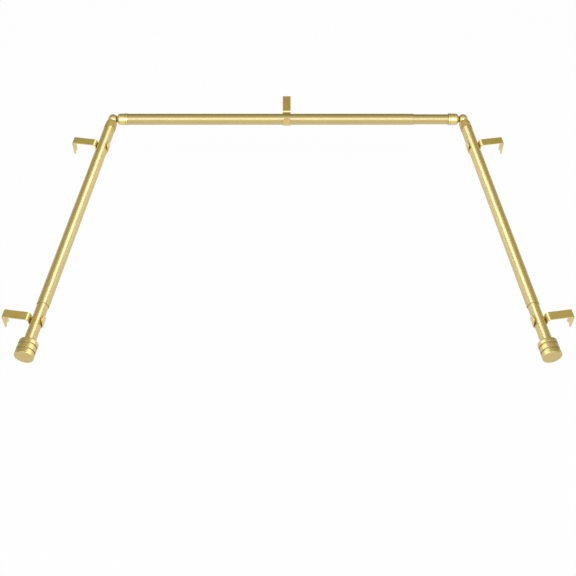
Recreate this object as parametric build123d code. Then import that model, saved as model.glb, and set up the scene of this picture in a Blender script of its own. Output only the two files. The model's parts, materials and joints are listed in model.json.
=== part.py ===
from build123d import *
import math
import os

# Bay window curtain rod in millimetres and degrees. The origin is the centre bracket's screw hole on the
# wall face, +X runs along the centre rod, +Y points into the wall and +Z is up.

# Tubes
outer_od = 25.4
outer_wall = 0.9
inner_od = 23.0
inner_wall = 0.9
mouth_lip = 2.5
mouth_round = 0.6
lip_round = 0.4
slide_clearance = 0.06
fit_clearance = 0.02

# Lengths along the rods. The hidden room is what the guide plug keeps from the spigot of the cup.
centre_outer_length = 655.0
centre_showing = 79.0
centre_hidden_room = 88.0
side_outer_length = 506.0
side_showing = 87.0
side_hidden_room = 43.0

# Bend of the side rods away from the straight line, and the bend that the corners can reach
corner_bend = 81.4
corner_bend_limit = 90.0

# Corner cups
cup_od = 25.9
cup_seat_depth = 1.0
cup_length = 24.5
cup_shoulder = 6.5
cup_nose_wall = 4.0
cup_bore = 17.0
rim_proud = 0.45
rim_band = 4.2
rim_groove = 0.9
rim_groove_depth = 0.8
rim_second_band = 2.4
rim_round = 0.3
rim_gap = 0.9
tube_stop = 0.45
spigot_length = 18.0
access_cut_start = 16.5
access_cut_angle = 52.0

# Ball, swivel screw and nipple
ball_d = 23.0
cavity_d = 15.2
screw_d = 4.0
screw_head_d = 8.4
screw_head_top = 3.8
screw_end_past_nose = 2.0
screw_socket = 3.0
screw_socket_depth = 1.4
slot_clearance = 0.4
nipple_d = 10.0
nipple_bore = 6.0
nipple_start = 6.2
nipple_past_nose = 1.5

# Guide plug at the hidden end of each inner tube
plug_collar = 8.0
plug_spigot = 12.0
plug_bore = 14.0

# Finials
finial_od = 38.0
finial_length = 36.0
finial_socket = 16.0
finial_front_round = 1.2
finial_back_round = 4.0
finial_groove_places = (11.6, 23.8)
finial_groove_width = 3.6
finial_groove_depth = 1.8
finial_groove_round = 0.6

# Brackets
strip_width = 18.0
strip_thickness = 2.0
rod_to_wall = 67.0
cradle_clearance = 0.4
arm_rise = 11.6
tab_rise = 14.5
hook_bend = 6.0
plate_bend = 3.0
plate_height = 36.5
screw_hole_d = 4.5
screw_hole_drop = 18.0
notch_width = 6.0
notch_depth = 4.5
prong_round = 1.2
centre_bracket_place = 399.0
corner_bracket_place = 91.0
end_bracket_to_finial = 50.0

# Values worked out from the sizes above
outer_r = outer_od / 2
outer_bore_r = outer_r - outer_wall
inner_r = inner_od / 2
inner_bore_r = inner_r - inner_wall
ball_r = ball_d / 2
cup_r = cup_od / 2
cup_nose = ball_r - cup_seat_depth
cup_reach = cup_nose + cup_length
cavity_r = cavity_d / 2
screw_r = screw_d / 2
nipple_r = nipple_d / 2
cradle_r = outer_r + cradle_clearance
hole_height = arm_rise - screw_hole_drop
rod_z = -hole_height - cradle_clearance
plug_depth = spigot_length + plug_collar
centre_inner_length = centre_outer_length + centre_showing - plug_depth - centre_hidden_room
side_inner_length = side_outer_length + side_showing + finial_socket - plug_depth - side_hidden_room
centre_span = 2 * cup_reach + centre_outer_length + centre_showing
side_mouth = cup_reach + side_outer_length
finial_back = side_mouth + side_showing
left_ball_at = Vector(-centre_bracket_place, -rod_to_wall, rod_z)
right_ball_at = left_ball_at + Vector(centre_span, 0, 0)
up = (0, 0, 1)
touching = 1e-6


def joined(start, end, ball_radii):
    # A straight edge, or an arc about the origin where both ends lie on one of the given radii.
    for radius in ball_radii:
        if abs(start.length - radius) < touching and abs(end.length - radius) < touching:
            middle = (start + end).normalized() * radius
            return ThreePointArc(start, middle, end)
    return Line(start, end)


def rounded_outline(corners, ball_radii=()):
    # Closed outline through (x, y, radius) corners, each rounded by an arc of its radius.
    edges = []
    points = [Vector(x, y) for x, y, radius in corners]
    first = last = None
    for i, (x, y, radius) in enumerate(corners):
        start = end = points[i]
        arc = None
        if radius > 0:
            back = (points[i - 1] - points[i]).normalized()
            ahead = (points[(i + 1) % len(points)] - points[i]).normalized()
            half = math.radians(back.get_angle(ahead)) / 2
            start = points[i] + back * (radius / math.tan(half))
            end = points[i] + ahead * (radius / math.tan(half))
            middle = points[i] + (back + ahead).normalized() * (radius / math.sin(half) - radius)
            arc = ThreePointArc(start, middle, end)
        if last is not None and (start - last).length > touching:
            edges.append(joined(last, start, ball_radii))
        if arc is not None:
            edges.append(arc)
        first = start if first is None else first
        last = end
    edges.append(joined(last, first, ball_radii))
    return make_face(edges)


def turned(corners, ball_radii=()):
    # Solid of revolution about +X from an outline of (x, radius, rounding) corners.
    return revolve(rounded_outline(corners, ball_radii), Axis.X)


def on_ball(radius, height):
    # Distance along the axis at which a ball about the origin reaches a given height off the axis.
    return math.sqrt(radius ** 2 - height ** 2)


def bar(radius, start, end):
    # Round bar along +X.
    return turned([(start, 0, 0), (end, 0, 0), (end, radius, 0), (start, radius, 0)])


def placed(part, at, direction):
    # The part's +X turned to a level direction, with its own origin moved to a point.
    return Plane(origin=at, x_dir=direction, z_dir=up) * part


def outer_tube(length):
    # The mouth is turned in to guide the inner tube.
    lip_r = inner_r + slide_clearance
    lip_start = length - mouth_lip
    return turned([
        (0, outer_bore_r, 0),
        (lip_start - (outer_bore_r - lip_r), outer_bore_r, 0),
        (lip_start, lip_r, 0),
        (length, lip_r, lip_round),
        (length, outer_r, mouth_round),
        (0, outer_r, 0),
    ])


def inner_tube(length):
    return turned([(0, inner_bore_r, 0), (length, inner_bore_r, 0), (length, inner_r, 0), (0, inner_r, 0)])


def guide_plug():
    # Sits in the end of an inner tube at x = 0, with its collar outside the tube on the -X side.
    collar_r = outer_bore_r - slide_clearance
    spigot_r = inner_bore_r - fit_clearance
    return turned([
        (-plug_collar, plug_bore / 2, 0),
        (plug_spigot, plug_bore / 2, 0),
        (plug_spigot, spigot_r, 0),
        (0, spigot_r, 0),
        (0, collar_r, 0),
        (-plug_collar, collar_r, rim_round),
    ])


def cup(tube_bore_r, nose_hole_r, seat_clearance):
    # Cup along +X from the ball: nose seat, round shoulder, banded rim and the spigot in the tube.
    # The tube meets a low step on the spigot, which leaves a thin gap behind the rim.
    seat_r = ball_r + seat_clearance
    rim_r = cup_r + rim_proud
    groove_r = rim_r - rim_groove_depth
    rim_end = cup_reach - rim_gap
    rim_start = rim_end - rim_band
    groove_start = rim_start - rim_groove
    band_start = groove_start - rim_second_band
    stop_r = tube_bore_r + tube_stop
    spigot_r = tube_bore_r - fit_clearance
    spigot_end = cup_reach + spigot_length
    nose_inside = cup_nose + cup_nose_wall
    return turned([
        (on_ball(seat_r, nose_hole_r), nose_hole_r, 0),
        (cup_nose, on_ball(seat_r, cup_nose), 0),
        (cup_nose, cup_r, cup_shoulder),
        (band_start, cup_r, 0),
        (band_start, rim_r, 0),
        (groove_start, rim_r, rim_round),
        (groove_start, groove_r, 0),
        (rim_start, groove_r, 0),
        (rim_start, rim_r, rim_round),
        (rim_end, rim_r, rim_round),
        (rim_end, stop_r, 0),
        (cup_reach, stop_r, 0),
        (cup_reach, spigot_r, 0),
        (spigot_end, spigot_r, 0),
        (spigot_end, cup_bore / 2, 0),
        (nose_inside, cup_bore / 2, 0),
        (nose_inside, nose_hole_r, 0),
    ], [seat_r])


def fixed_cup(tube_bore_r):
    return cup(tube_bore_r, nipple_r + fit_clearance, fit_clearance)


def swing_cup(outward):
    # The nose is cut flat on the outward side, where the slot of the ball comes into view.
    cutter = Box(4 * cup_length, cup_od, 2 * cup_od, align=(Align.CENTER, Align.MIN, Align.CENTER))
    cutter = Location((access_cut_start, cup_r, 0), (0, 0, access_cut_angle)) * cutter
    body = cup(outer_bore_r, screw_r + fit_clearance, slide_clearance) - cutter
    return body if outward > 0 else mirror(body, Plane.XZ)


def ball(swing_side):
    # Hollow ball. The fixed cup lies along +X and the slot runs from -X to the limit of the bend.
    slot_r = screw_r + slot_clearance
    hole_r = nipple_r + fit_clearance
    body = turned([
        (on_ball(ball_r, hole_r), hole_r, 0),
        (0, ball_r, 0),
        (-on_ball(ball_r, slot_r), slot_r, 0),
        (-on_ball(cavity_r, slot_r), slot_r, 0),
        (0, cavity_r, 0),
        (on_ball(cavity_r, hole_r), hole_r, 0),
    ], [ball_r, cavity_r])
    limit = swing_side * corner_bend_limit
    wedge = [(0, 0)]
    for step in range(3):
        angle = math.radians(180 + limit * step / 2)
        wedge.append((ball_d * math.cos(angle), ball_d * math.sin(angle)))
    slot = extrude(make_face(Polyline(*wedge, close=True)), slot_r, both=True)
    slot += Rot(0, 0, 180 + limit) * bar(slot_r, 0, ball_d)
    return body - slot


def swivel_screw():
    # The head's underside is round and bears on the inside of the ball. The shank leaves through the slot.
    head_r = screw_head_d / 2
    bearing_r = cavity_r - slide_clearance
    shank_end = cup_nose + cup_nose_wall + screw_end_past_nose
    body = turned([
        (screw_head_top, 0, 0),
        (screw_head_top, head_r, 0),
        (on_ball(bearing_r, head_r), head_r, 0),
        (on_ball(bearing_r, screw_r), screw_r, 0),
        (shank_end, screw_r, 0),
        (shank_end, 0, 0),
    ], [bearing_r])
    socket = Plane.YZ.offset(screw_head_top) * RegularPolygon(screw_socket / 2, 6, major_radius=False)
    return body - extrude(socket, screw_socket_depth)


def nipple():
    end = cup_nose + cup_nose_wall + nipple_past_nose
    bore_r = nipple_bore / 2
    return turned([
        (nipple_start, bore_r, 0),
        (end, bore_r, 0),
        (end, nipple_r, 0),
        (nipple_start, nipple_r, 0),
    ])


def finial():
    # Turned knob along +X from its back shoulder, with a blind socket for the tube and round-edged grooves.
    r = finial_od / 2
    socket_r = inner_r + fit_clearance
    floor_r = r - finial_groove_depth
    half = finial_groove_width / 2
    corners = [(0, socket_r, 0), (0, r, finial_back_round)]
    for place in sorted(finial_length - front for front in finial_groove_places):
        corners += [
            (place - half, r, finial_groove_round),
            (place - half, floor_r, finial_groove_round),
            (place + half, floor_r, finial_groove_round),
            (place + half, r, finial_groove_round),
        ]
    corners += [(finial_length, r, finial_front_round), (finial_length, 0, 0), (finial_socket, 0, 0),
                (finial_socket, socket_r, 0)]
    return turned(corners)


def bracket():
    # One bent strip about the middle of its cradle: +X points to the wall and the rod lies along Y.
    outside_r = cradle_r + strip_thickness
    inside_arm = arm_rise - strip_thickness
    inside_plate = rod_to_wall - strip_thickness
    bottom = arm_rise - plate_height
    side_view = rounded_outline([
        (rod_to_wall, bottom, 0),
        (rod_to_wall, arm_rise, plate_bend),
        (cradle_r, arm_rise, hook_bend),
        (cradle_r, -cradle_r, cradle_r),
        (-cradle_r, -cradle_r, cradle_r),
        (-cradle_r, tab_rise, 0),
        (-outside_r, tab_rise, 0),
        (-outside_r, -outside_r, outside_r),
        (outside_r, -outside_r, outside_r),
        (outside_r, inside_arm, hook_bend - strip_thickness),
        (inside_plate, inside_arm, plate_bend - strip_thickness),
        (inside_plate, bottom, 0),
    ])
    strip = extrude(Plane.XZ * side_view, strip_width / 2, both=True)
    strip -= tab_corners(outside_r)
    along_wall = Plane(origin=(rod_to_wall + strip_thickness, 0, 0), x_dir=(0, -1, 0), z_dir=(-1, 0, 0))
    through = 3 * strip_thickness
    hole = Pos(0, hole_height) * Circle(screw_hole_d / 2)
    notch_r = notch_width / 2
    notch = Pos(0, bottom + notch_depth - notch_r) * Circle(notch_r)
    notch += Pos(0, bottom) * Rectangle(notch_width, 2 * (notch_depth - notch_r))
    strip -= extrude(along_wall * (hole + notch), through)
    ends = strip.edges().filter_by(Axis.X).filter_by_position(Axis.Z, bottom, bottom)
    return fillet(ends, prong_round)


def tab_corners(outside_r):
    # What is trimmed from the strip to leave the tab's end half round.
    end_r = strip_width / 2
    around = Box(outside_r, 2 * strip_width, strip_width, align=(Align.MAX, Align.CENTER, Align.MIN))
    around = Pos(0, 0, tab_rise - end_r) * around
    return around - Pos(0, 0, tab_rise - end_r) * Rot(0, 180, 0) * bar(end_r, 0, 2 * outside_r)


def centre_rod():
    left_end = left_ball_at + Vector(cup_reach, 0, 0)
    right_end = right_ball_at - Vector(cup_reach, 0, 0)
    hidden_end = right_end - Vector(centre_inner_length, 0, 0)
    bracket_at = Vector(0, -rod_to_wall, rod_z + cradle_clearance)
    right, left, wall = (1, 0, 0), (-1, 0, 0), (0, 1, 0)
    return {
        "centre_outer_tube": placed(outer_tube(centre_outer_length), left_end, right),
        "centre_inner_tube": placed(inner_tube(centre_inner_length), hidden_end, right),
        "centre_guide_plug": placed(guide_plug(), hidden_end, right),
        "centre_bracket": placed(bracket(), bracket_at, wall),
        "left_fixed_cup": placed(fixed_cup(outer_bore_r), left_ball_at, right),
        "left_ball": placed(ball(1), left_ball_at, right),
        "left_nipple": placed(nipple(), left_ball_at, right),
        "right_fixed_cup": placed(fixed_cup(inner_bore_r), right_ball_at, left),
        "right_ball": placed(ball(-1), right_ball_at, left),
        "right_nipple": placed(nipple(), right_ball_at, left),
    }


def side_rod(name, hand, ball_at):
    # hand is -1 on the left and 1 on the right.
    bend = math.radians(corner_bend)
    along = Vector(hand * math.cos(bend), -math.sin(bend), 0)
    wall = Vector(hand * math.sin(bend), math.cos(bend), 0)
    hidden_end = finial_back + finial_socket - side_inner_length
    corner_cradle = Vector(0, 0, cradle_clearance) + along * corner_bracket_place
    end_cradle = Vector(0, 0, cradle_r - inner_r) + along * (finial_back - end_bracket_to_finial)
    return {
        f"{name}_swing_cup": placed(swing_cup(hand), ball_at, along),
        f"{name}_swivel_screw": placed(swivel_screw(), ball_at, along),
        f"{name}_outer_tube": placed(outer_tube(side_outer_length), ball_at + along * cup_reach, along),
        f"{name}_inner_tube": placed(inner_tube(side_inner_length), ball_at + along * hidden_end, along),
        f"{name}_guide_plug": placed(guide_plug(), ball_at + along * hidden_end, along),
        f"{name}_finial": placed(finial(), ball_at + along * finial_back, along),
        f"{name}_corner_bracket": placed(bracket(), ball_at + corner_cradle, wall),
        f"{name}_end_bracket": placed(bracket(), ball_at + end_cradle, wall),
    }


def main():
    os.makedirs("parts", exist_ok=True)
    nodes = centre_rod()
    nodes.update(side_rod("left", -1, left_ball_at))
    nodes.update(side_rod("right", 1, right_ball_at))
    for name, solid in nodes.items():
        export_step(solid, f"parts/{name}.step")


main()
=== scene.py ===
import json
import math

import bpy
import numpy as np
from mathutils import Matrix, Vector

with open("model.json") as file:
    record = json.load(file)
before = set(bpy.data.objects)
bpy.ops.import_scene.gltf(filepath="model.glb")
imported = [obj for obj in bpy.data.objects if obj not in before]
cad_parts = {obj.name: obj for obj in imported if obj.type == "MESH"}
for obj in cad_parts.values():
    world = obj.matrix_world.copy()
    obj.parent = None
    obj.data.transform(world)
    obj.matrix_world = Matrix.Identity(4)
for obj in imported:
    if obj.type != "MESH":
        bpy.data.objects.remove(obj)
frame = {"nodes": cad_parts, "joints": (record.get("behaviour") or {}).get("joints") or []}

scene = bpy.context.scene
nodes = frame["nodes"]
joints = {joint["name"]: joint for joint in frame["joints"]}
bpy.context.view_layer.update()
print("curtain rod loaded:", len(nodes), "nodes")


# camera over the window bay, level and square to the centre rod
cameraSet = {
    "place": (0.003, -1.767, 1.571),
    "pitchDown": 52.3,
    "lens": 61.9,
    "sensor": 36.0,
}


def makeCamera(given):
    data = bpy.data.cameras.new("bayCamera")
    data.lens = given["lens"]
    data.sensor_width = given["sensor"]
    camera = bpy.data.objects.new("bayCamera", data)
    camera.location = given["place"]
    camera.rotation_euler = (math.radians(90 - given["pitchDown"]), 0, 0)
    scene.collection.objects.link(camera)
    scene.camera = camera


makeCamera(cameraSet)
print("camera set")


# the axes that the rods, cups and brackets lie along
leftBall = Vector(joints["left_corner"]["pos_m"])
rightBall = Vector(joints["right_corner"]["pos_m"])
alongRod = {side: Vector(joints[side + "_slide"]["axis"]) for side in ("left", "right")}
turnOf = {
    "centre": (leftBall, 0.0),
    "rightEnd": (rightBall, math.pi),
    "left": (leftBall, math.atan2(alongRod["left"].y, alongRod["left"].x)),
    "right": (rightBall, math.atan2(alongRod["right"].y, alongRod["right"].x)),
}


def turnFor(name):
    # the centre rod's pieces lie along X, and all others along their own side rod
    if name in ("right_fixed_cup", "right_ball", "right_nipple"):
        return turnOf["rightEnd"]
    if name.startswith("centre") or name in ("left_fixed_cup", "left_ball", "left_nipple"):
        return turnOf["centre"]
    return turnOf[name.split("_")[0]]


# how the painted crevice tone in seams and the paler edges are found: the rays from each point,
# where a mark is full and where it ends
markSet = {
    "seamRays": 16, "seamFull": 0.35, "seamEnd": 0.85,
    "edgeRays": 8, "edgeFull": 0.90, "edgeEnd": 0.995,
}


class Finish:
    # one node material, with short calls to add and join its nodes
    def __init__(self, name):
        self.material = bpy.data.materials.new(name)
        self.material.use_nodes = True
        self.tree = self.material.node_tree
        self.shader = self.tree.nodes["Principled BSDF"]

    def add(self, kind, inputs=(), **settings):
        node = self.tree.nodes.new("ShaderNode" + kind)
        for key, value in settings.items():
            setattr(node, key, value)
        for key, value in dict(inputs).items():
            self.join(node.inputs[key], value)
        return node

    def join(self, socket, value):
        if isinstance(value, bpy.types.NodeSocket):
            self.tree.links.new(value, socket)
        elif socket.type == "RGBA":
            socket.default_value = (*value, 1)
        else:
            socket.default_value = value

    def put(self, **sockets):
        # shader sockets by name, with their spaces left out
        named = {socket.name.replace(" ", ""): socket for socket in self.shader.inputs}
        for key, value in sockets.items():
            self.join(named[key], value)

    def along(self, turn):
        # object coordinates moved to the piece's own axis, x along it
        at, angle = turn
        place = self.add("TexCoord").outputs["Object"]
        return self.add("Mapping", {"Vector": place, "Location": at, "Rotation": (0, 0, angle)},
                        vector_type="TEXTURE").outputs["Vector"]

    def around(self, axis):
        # distance along the axis and distance from it, for marks that run round a turned piece
        parts = self.add("SeparateXYZ", {0: axis}).outputs
        flat = self.add("CombineXYZ", {"Y": parts["Y"], "Z": parts["Z"]}).outputs[0]
        radius = self.add("VectorMath", {0: flat}, operation="LENGTH").outputs["Value"]
        return self.add("CombineXYZ", {"X": parts["X"], "Y": radius}).outputs[0]

    def noise(self, vector, stretch):
        # noise with its own number of marks to the metre along, across and up
        spread = self.add("Mapping", {"Vector": vector, "Scale": stretch}).outputs["Vector"]
        return self.add("TexNoise", {"Vector": spread, "Scale": 1.0, "Detail": 3.0,
                                     "Roughness": 0.55}).outputs["Fac"]

    def ranged(self, value, low, high, start=0.3, end=0.7):
        # most of the noise lies between 0.3 and 0.7
        return self.add("MapRange", {"Value": value, "From Min": start, "From Max": end,
                                     "To Min": low, "To Max": high}).outputs["Result"]

    def blend(self, share, first, second):
        # sockets 0, 6 and 7 are the share and the two colours
        return self.add("Mix", {0: share, 6: first, 7: second}, data_type="RGBA").outputs[2]

    def sum(self, first, second):
        return self.add("Math", {0: first, 1: second}, operation="ADD", use_clamp=True).outputs[0]

    def crevice(self, reach):
        # 0 in the open and 1 deep in a groove or seam: where the painted shade goes (painted bounce
        # light on the brackets)
        shade = self.add("AmbientOcclusion", {"Distance": reach},
                         samples=markSet["seamRays"]).outputs["AO"]
        return self.ranged(shade, 1.0, 0.0, markSet["seamFull"], markSet["seamEnd"])

    def worn(self, reach):
        # 0 on a plain face and 1 along a sharp edge, where the rounded normal leaves the true one;
        # the paler colour laid there is wear and a painted highlight
        soft = self.add("Bevel", {"Radius": reach}, samples=markSet["edgeRays"]).outputs[0]
        true = self.add("NewGeometry").outputs["Normal"]
        match = self.add("VectorMath", {0: soft, 1: true}, operation="DOT_PRODUCT").outputs["Value"]
        return self.ranged(match, 1.0, 0.0, markSet["edgeFull"], markSet["edgeEnd"])

    def bump(self, height, strength, distance):
        return self.add("Bump", {"Height": height, "Strength": strength,
                                 "Distance": distance}).outputs["Normal"]

    def lacquer(self, given, grain, cloud):
        # gold lacquer: two shades, paler edges for wear and a painted highlight, a painted crevice
        # tone in the seams (painted bounce light on the brackets, painted shade elsewhere), and a
        # clear coat
        colour = self.blend(self.ranged(cloud, 0.0, 1.0), given["deepGold"], given["gold"])
        # paler edges: wear and a painted highlight where a rounded edge would catch the light
        colour = self.blend(self.worn(given["edgeReach"]), colour, given["paleEdge"])
        # painted crevice tone: painted shade in grooves and seams, painted bounce light in the
        # brackets' cradles and bends
        colour = self.blend(self.crevice(given["seamReach"]), colour, given["seam"])
        weight, rough, index = given["coat"]
        self.put(BaseColor=colour, Metallic=given["metal"],
                 Roughness=self.ranged(grain, *given["rough"]),
                 SpecularIORLevel=given["gloss"], SpecularTint=given["rimTint"],
                 CoatWeight=weight, CoatRoughness=rough, CoatIOR=index,
                 Normal=self.bump(grain, given["grainStrength"], given["grainHeight"]))
        return self.material


# drawn tubes: fine lines along them; reaches are in metres, grain and cloud in marks to the metre
tubeFinish = {
    "gold": (0.565, 0.412, 0.078),
    "deepGold": (0.525, 0.378, 0.068),
    # paler edges: wear and a painted highlight
    "paleEdge": (0.76, 0.62, 0.28),
    "rimTint": (0.45, 0.32, 0.13),
    "seam": (0.16, 0.09, 0.02),  # painted shade in grooves and seams, brown
    "edgeReach": 0.0004,
    "seamReach": 0.004,
    "metal": 0.55,
    "gloss": 0.1,
    "rough": (0.50, 0.54),
    "coat": (1.0, 0.30, 2.3),  # weight, roughness and index
    "grain": (6.0, 1400.0, 1400.0),
    "cloud": (9.0, 40.0, 40.0),
    "grainStrength": 0.04,
    "grainHeight": 0.00002,
}

# cast cups and balls: even fine speckle under the lacquer
cupFinish = {
    **tubeFinish,
    # a paler gold than the tubes': painted light, as the cups are lit brighter
    "gold": (0.62, 0.46, 0.10),
    "deepGold": (0.58, 0.425, 0.09),
    # painted shade in grooves and seams
    "seam": (0.15, 0.08, 0.015),
    "seamReach": 0.005,
    "metal": 0.6,
    "rough": (0.44, 0.50),
    "grain": (1300.0, 1300.0, 1300.0),
    "cloud": (70.0, 70.0, 70.0),
    "grainStrength": 0.05,
}

# stamped brackets: roll lines along the strip, across the rod
stripFinish = {
    **tubeFinish,
    "gold": (0.67, 0.49, 0.07),
    "deepGold": (0.61, 0.43, 0.058),
    "rimTint": (0.95, 0.87, 0.56),
    "seam": (1.0, 0.66, 0.14),  # painted bounce light: bright where gold would light gold inside the cradle and the bends
    "edgeReach": 0.0007,
    "seamReach": 0.008,
    "metal": 0.7,
    "rough": (0.38, 0.46),
    "coat": (1.0, 0.30, 2.35),
    "grain": (1500.0, 14.0, 14.0),
    "cloud": (60.0, 60.0, 60.0),
    "grainStrength": 0.06,
}


def grainedGold(name, turn, given):
    # grain and cloud both follow the piece's own axis
    gold = Finish(name)
    axis = gold.along(turn)
    return gold.lacquer(given, gold.noise(axis, given["grain"]), gold.noise(axis, given["cloud"]))


# turned finials: lathe marks round the axis, on the side and on the face
finialFinish = {
    **tubeFinish,
    # a paler gold than the tubes': partly the finial's own tone, partly painted light that lifts
    # its shaded side
    "gold": (0.63, 0.475, 0.11),
    "deepGold": (0.59, 0.44, 0.10),
    # paler lips by the grooves: wear and a painted highlight
    "paleEdge": (0.86, 0.72, 0.36),
    # painted shade in the turned grooves
    "seam": (0.15, 0.08, 0.015),
    "edgeReach": 0.0012,
    "seamReach": 0.008,
    "metal": 0.7,
    "rough": (0.42, 0.48),
    "coat": (0.8, 0.36, 2.2),
    "rings": (1500.0, 1500.0, 1.0),
    "cloud": (45.0, 45.0, 45.0),
    "grainStrength": 0.05,
}


def turnedFinial(name, turn, given):
    gold = Finish(name)
    axis = gold.along(turn)
    rings = gold.noise(gold.around(axis), given["rings"])
    return gold.lacquer(given, rings, gold.noise(axis, given["cloud"]))


# zinc screws and nipples
steelFinish = {
    "steel": (0.58, 0.57, 0.55),
    "dull": (0.42, 0.41, 0.40),
    "rough": (0.28, 0.42),
    "threads": 449.0,
    "threadStrength": 0.8,
    "threadHeight": 0.0003,
    "stain": (300.0, 300.0, 300.0),
}


def threadedSteel(name, turn, given):
    # a thread of even turns along the piece's axis
    steel = Finish(name)
    axis = steel.along(turn)
    stain = steel.noise(axis, given["stain"])
    wave = steel.add("TexWave", {"Vector": axis, "Scale": given["threads"]}, bands_direction="X")
    thread = steel.bump(wave.outputs["Fac"], given["threadStrength"], given["threadHeight"])
    steel.put(BaseColor=steel.blend(stain, given["dull"], given["steel"]), Metallic=1.0,
              Roughness=steel.ranged(stain, *given["rough"]), Normal=thread)
    return steel.material


# moulded guide plugs
plugFinish = {
    "plastic": (0.62, 0.60, 0.55),
    "shade": (0.54, 0.52, 0.47),
    "rough": (0.42, 0.56),
    "flow": (60.0, 240.0, 240.0),
    "peel": (900.0, 900.0, 900.0),
    "peelStrength": 0.3,
    "peelHeight": 0.00003,
}


def mouldedPlug(name, turn, given):
    # faint flow marks along the plug and a fine moulded skin
    plastic = Finish(name)
    axis = plastic.along(turn)
    flow = plastic.noise(axis, given["flow"])
    peel = plastic.noise(axis, given["peel"])
    plastic.put(BaseColor=plastic.blend(flow, given["shade"], given["plastic"]),
                Roughness=plastic.ranged(peel, *given["rough"]),
                Normal=plastic.bump(peel, given["peelStrength"], given["peelHeight"]))
    return plastic.material


# by the last word of a node's name
finishFor = {
    "tube": (grainedGold, tubeFinish),
    "cup": (grainedGold, cupFinish),
    "ball": (grainedGold, cupFinish),
    "bracket": (grainedGold, stripFinish),
    "finial": (turnedFinial, finialFinish),
    "screw": (threadedSteel, steelFinish),
    "nipple": (threadedSteel, steelFinish),
    "plug": (mouldedPlug, plugFinish),
}


def dress(name):
    make, given = finishFor[name.split("_")[-1]]
    mesh = nodes[name].data
    mesh.materials.clear()
    mesh.materials.append(make(name + "_finish", turnFor(name), given))


for name in nodes:
    dress(name)
print("finishes made")


# pale studio floor: white under the rod, pale grey far from it, turned up at its rim
floorSet = {
    "height": -0.45,
    "radius": 14.0,
    "rim": 2.5,
    "turnUp": 0.9,  # share of the radius that stays level
    "rings": 40,
    "steps": 96,
    "white": (0.9, 0.9, 0.9),
    "glowWhite": (1.0, 1.0, 1.0),
    "far": (0.55, 0.55, 0.55),
    "whiteTo": 1.7,
    "farFrom": 4.5,
    "rough": 0.9,
    "glow": 0.96,
}


def floorMesh(given):
    # a disc of rings and steps: the radius grows evenly by ring and the angle evenly by step,
    # and past turnUp the height rises with the square of the way to the rim
    rings, steps = given["rings"], given["steps"]
    share, angle = np.meshgrid(np.linspace(0, 1, rings + 1), np.arange(steps) * 2 * np.pi / steps,
                               indexing="ij")
    up = np.clip((share - given["turnUp"]) / (1 - given["turnUp"]), 0, 1) ** 2
    radius = given["radius"] * share
    points = np.stack([radius * np.cos(angle), radius * np.sin(angle),
                       given["height"] + given["rim"] * up], -1)
    ring, step = np.meshgrid(np.arange(rings), np.arange(steps), indexing="ij")
    near, far, after = ring * steps, (ring + 1) * steps, (step + 1) % steps
    faces = np.stack([near + step, far + step, far + after, near + after], -1)
    mesh = bpy.data.meshes.new("studioFloor")
    mesh.from_pydata(points.reshape(-1, 3).tolist(), [], faces.reshape(-1, 4).tolist())
    mesh.polygons.foreach_set("use_smooth", np.ones(len(mesh.polygons), bool))
    return mesh


def floorPaint(given):
    # plain paint that the camera and reflections see as its own glow, so that it stays white
    paint = Finish("studioWhite")
    place = paint.add("TexCoord").outputs["Object"]
    away = paint.add("VectorMath", {0: place}, operation="LENGTH").outputs["Value"]
    fade = paint.ranged(away, 0.0, 1.0, given["whiteTo"], given["farFrom"])
    paint.put(BaseColor=paint.blend(fade, given["white"], given["far"]), Roughness=given["rough"],
              SpecularIORLevel=0.0)
    path = paint.add("LightPath").outputs
    seen = paint.sum(path["Is Camera Ray"], path["Is Glossy Ray"])
    seen = paint.sum(seen, path["Is Transmission Ray"])
    share = paint.add("Math", {0: seen, 1: given["glow"]}, operation="MULTIPLY").outputs[0]
    glow = paint.add("Emission", {"Color": paint.blend(fade, given["glowWhite"], given["far"])})
    mixed = paint.add("MixShader", {0: share, 1: paint.shader.outputs[0], 2: glow.outputs[0]})
    paint.join(paint.tree.nodes["Material Output"].inputs["Surface"], mixed.outputs[0])
    paint.material.cycles.emission_sampling = "NONE"  # it lights nothing by itself
    return paint.material


def makeFloor(given):
    mesh = floorMesh(given)
    mesh.materials.append(floorPaint(given))
    floor = bpy.data.objects.new("studioFloor", mesh)
    scene.collection.objects.link(floor)


makeFloor(floorSet)


# soft boxes: one over the camera for all pieces, one for the corners, and a warm one behind
lampTint = {"cool": (0.94, 0.99, 1.0), "mint": (0.90, 1.0, 0.96), "warm": (1.0, 0.76, 0.45)}
lampSet = {
    "frontBox": {
        "place": (0.0, -1.467, 1.70), "aim": (0.0, -0.07, 0.0), "size": (2.4, 0.20),
        "watts": 20.6, "tint": lampTint["cool"], "lights": (),
    },
    "cornerBox": {
        "place": (0.0, -1.8, 1.3), "aim": (0.0, -0.07, 0.0), "size": (2.4, 1.0),
        "watts": 36.0, "tint": lampTint["cool"], "lights": ("cup", "ball"),
    },
    "backBox": {
        "place": (0.0, 1.3, 1.5), "aim": (0.0, -0.2, 0.0), "size": (3.0, 1.0),
        "watts": 3.9, "tint": lampTint["warm"], "lights": ("centre_bracket", "finial", "swing_cup"),
    },
}
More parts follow.
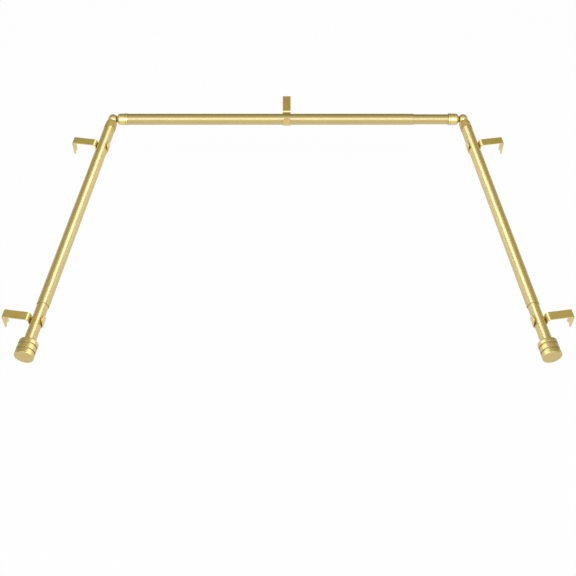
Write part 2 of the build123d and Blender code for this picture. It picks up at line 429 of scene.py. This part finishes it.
# three for each side rod, given for the left and mirrored for the right
sideLampSet = {
    "Box": {
        "place": (0.36, 0.53, 1.48), "aim": (-0.465, -0.46, 0.0), "size": (1.3, 1.2),
        "watts": 19.2, "tint": lampTint["cool"], "lights": ("tube", "bracket"),
    },
    "EndBox": {
        "place": (1.30, 0.11, 0.96), "aim": (-0.50, -0.72, 0.0), "size": (1.0, 1.8),
        "watts": 19.0, "tint": lampTint["cool"], "lights": ("finial",),
    },
    "Fill": {
        "place": (1.45, 0.55, 0.20), "aim": (-0.465, -0.46, 0.0), "size": (1.3, 0.9),
        "watts": 4.5, "tint": lampTint["mint"], "lights": ("tube", "bracket"),
    },
}
bayMiddle = (leftBall.x + rightBall.x) / 2


def onSide(side, point):
    x, y, z = point
    return Vector((2 * bayMiddle - x if side == "right" else x, y, z))


def makeLamp(name, given, side="", long=Vector((1, 0, 0))):
    # a soft box that faces its aim, with its long side turned to a given direction
    data = bpy.data.lights.new(name, "AREA")
    data.shape = "RECTANGLE"
    data.size, data.size_y = given["size"]
    data.energy = given["watts"]
    data.color = given["tint"]
    lamp = bpy.data.objects.new(name, data)
    place = onSide(side, given["place"])
    back = (place - onSide(side, given["aim"])).normalized()
    across = back.cross(long).normalized()
    turn = Matrix((across.cross(back), across, back)).transposed().to_4x4()
    lamp.matrix_world = Matrix.Translation(place) @ turn
    scene.collection.objects.link(lamp)
    if given["lights"]:  # the ends of the names of the pieces that it lights; none means all
        group = bpy.data.collections.new(name + "Pieces")
        for piece in nodes:
            if piece.startswith(side) and piece.endswith(given["lights"]):
                group.objects.link(nodes[piece])
        lamp.light_linking.receiver_collection = group


for name, given in lampSet.items():
    makeLamp(name, given)
for kind, given in sideLampSet.items():
    for side, long in alongRod.items():
        makeLamp(side + kind, given, side, long)


# (depth from the camera's side to the far wall, grey)
roomSet = {
    "levels": ((0.0, 1.0), (0.5, 0.75), (0.67, 0.40), (0.785, 0.17), (0.91, 0.06), (1.0, 0.05)),
}


def makeRoom(given):
    # grey by depth alone: light on the camera's side, dim at the far wall
    world = bpy.data.worlds.new("dimRoom")
    world.use_nodes = True
    scene.world = world
    tree = world.node_tree
    place = tree.nodes.new("ShaderNodeTexCoord")
    parts = tree.nodes.new("ShaderNodeSeparateXYZ")
    half = tree.nodes.new("ShaderNodeMapRange")
    half.inputs["From Min"].default_value = -1  # a direction's Y runs from -1 to 1
    ramp = tree.nodes.new("ShaderNodeValToRGB")
    tree.links.new(place.outputs["Generated"], parts.inputs[0])
    tree.links.new(parts.outputs["Y"], half.inputs["Value"])
    tree.links.new(half.outputs["Result"], ramp.inputs["Fac"])
    tree.links.new(ramp.outputs["Color"], tree.nodes["Background"].inputs["Color"])
    marks = ramp.color_ramp.elements
    while len(marks) < len(given["levels"]):
        marks.new(1.0)
    for mark, (depth, level) in zip(marks, given["levels"]):
        mark.position = depth
        mark.color = (level, level, level, 1)


makeRoom(roomSet)
scene.view_settings.view_transform = "Standard"
print("studio set")
